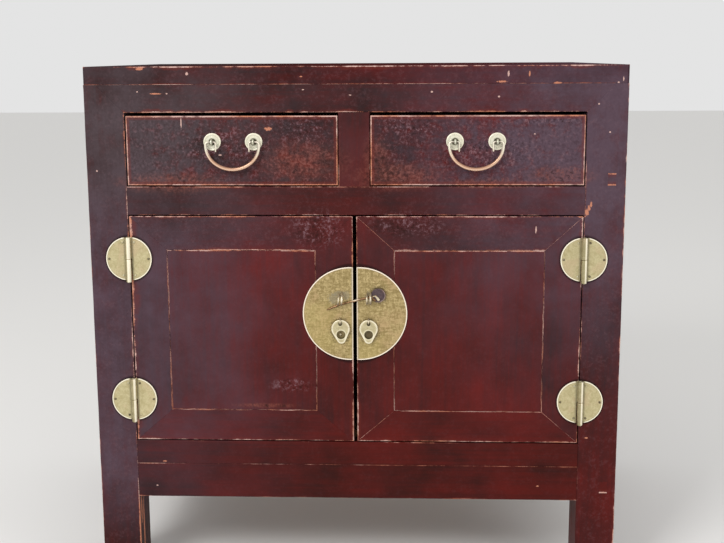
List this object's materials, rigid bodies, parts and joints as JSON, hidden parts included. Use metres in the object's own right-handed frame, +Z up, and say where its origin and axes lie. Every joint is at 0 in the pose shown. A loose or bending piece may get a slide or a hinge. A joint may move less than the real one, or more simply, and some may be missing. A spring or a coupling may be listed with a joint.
{
  "type": "kang cabinet",
  "caption": "Low lacquered cabinet on square legs, with small drawers over panelled doors, round brass hinges and a round lock plate held shut by a latch pin.",
  "frame": {"origin": "on the floor under the middle of the whole cabinet, its front hardware included", "axes": "+Z up, +X to the right as seen from the front, the doors and drawers face -Y"},
  "size_m": [0.85, 0.5322, 0.85],
  "materials": {
    "lacquered_wood": "dark oxblood lacquer, worn to the wood on edges",
    "bare_wood": "planed softwood, unfinished",
    "hinge_brass": "pale brushed brass",
    "plate_brass": "brushed and mottled brass",
    "handle_brass": "pale polished brass",
    "pin_bronze": "dark bronze with copper wear"
  },
  "bodies": {
    "case": {"post_front_left": "lacquered_wood", "post_front_right": "lacquered_wood", "post_back_left": "lacquered_wood", "post_back_right": "lacquered_wood", "top_frame_front": "lacquered_wood", "top_frame_back": "lacquered_wood", "top_frame_ends": "lacquered_wood", "top_panel": "lacquered_wood", "top_battens": "bare_wood", "upper_front_rail": "lacquered_wood", "middle_front_rail": "lacquered_wood", "lower_front_rail": "lacquered_wood", "drawer_divider": "lacquered_wood", "front_apron": "lacquered_wood", "side_rails_left": "lacquered_wood", "side_rails_right": "lacquered_wood", "side_panels_left": "lacquered_wood", "side_panels_right": "lacquered_wood", "back_rails": "bare_wood", "back_panels": "bare_wood", "cabinet_floor": "bare_wood", "dust_board": "bare_wood", "drawer_runners": "bare_wood", "case_hinge_leaves": "hinge_brass", "hinge_pins": "hinge_brass", "case_nails": "hinge_brass"},
    "left_door": {"left_door_stile_outer": "lacquered_wood", "left_door_stile_inner": "lacquered_wood", "left_door_rail_top": "lacquered_wood", "left_door_rail_bottom": "lacquered_wood", "left_door_panel": "lacquered_wood", "left_door_hinge_leaves": "hinge_brass", "left_door_lock_plate": "plate_brass", "left_door_staples": "handle_brass", "left_door_nails": "hinge_brass"},
    "right_door": {"right_door_stile_outer": "lacquered_wood", "right_door_stile_inner": "lacquered_wood", "right_door_rail_top": "lacquered_wood", "right_door_rail_bottom": "lacquered_wood", "right_door_panel": "lacquered_wood", "right_door_hinge_leaves": "hinge_brass", "right_door_lock_plate": "plate_brass", "right_door_staples": "handle_brass", "right_door_nails": "hinge_brass"},
    "left_drawer": {"left_drawer_front": "lacquered_wood", "left_drawer_sides_and_back": "bare_wood", "left_drawer_bottom": "bare_wood", "left_drawer_rosettes": "handle_brass", "left_drawer_handle_posts": "handle_brass"},
    "right_drawer": {"right_drawer_front": "lacquered_wood", "right_drawer_sides_and_back": "bare_wood", "right_drawer_bottom": "bare_wood", "right_drawer_rosettes": "handle_brass", "right_drawer_handle_posts": "handle_brass"},
    "left_bail": {"left_drawer_bail": "handle_brass"},
    "right_bail": {"right_drawer_bail": "handle_brass"},
    "left_pull": {"left_pull": "handle_brass"},
    "right_pull": {"right_pull": "handle_brass"},
    "latch_pin": {"latch_pin": "pin_bronze"}
  },
  "joints": [
    {"name": "left_door_open", "type": "hinge", "parent": "case", "child": "left_door", "pos_m": [-0.3628, -0.25885, 0.42735], "axis": [0, 0, -1], "range_deg": [0, 170]},
    {"name": "right_door_open", "type": "hinge", "parent": "case", "child": "right_door", "pos_m": [0.3628, -0.25885, 0.42735], "axis": [0, 0, 1], "range_deg": [0, 170]},
    {"name": "left_drawer_slide", "type": "slide", "parent": "case", "child": "left_drawer", "axis": [0, -1, 0], "range_m": [0, 0.3]},
    {"name": "right_drawer_slide", "type": "slide", "parent": "case", "child": "right_drawer", "axis": [0, -1, 0], "range_m": [0, 0.3]},
    {"name": "left_bail_swing", "type": "hinge", "parent": "left_drawer", "child": "left_bail", "pos_m": [-0.1907, -0.26085, 0.7322], "axis": [-1, 0, 0], "range_deg": [0, 120]},
    {"name": "right_bail_swing", "type": "hinge", "parent": "right_drawer", "child": "right_bail", "pos_m": [0.1907, -0.26085, 0.7322], "axis": [-1, 0, 0], "range_deg": [0, 120]},
    {"name": "left_pull_swing", "type": "hinge", "parent": "left_door", "child": "left_pull", "pos_m": [-0.0237, -0.25885, 0.4432], "axis": [-1, 0, 0], "range_deg": [0, 95]},
    {"name": "right_pull_swing", "type": "hinge", "parent": "right_door", "child": "right_pull", "pos_m": [0.0219, -0.25885, 0.4432], "axis": [-1, 0, 0], "range_deg": [0, 95]},
    {"name": "latch_pin_slide", "type": "slide", "parent": "right_door", "child": "latch_pin", "axis": [0.9744, 0, 0.225], "range_m": [0, 0.07]}
  ]
}
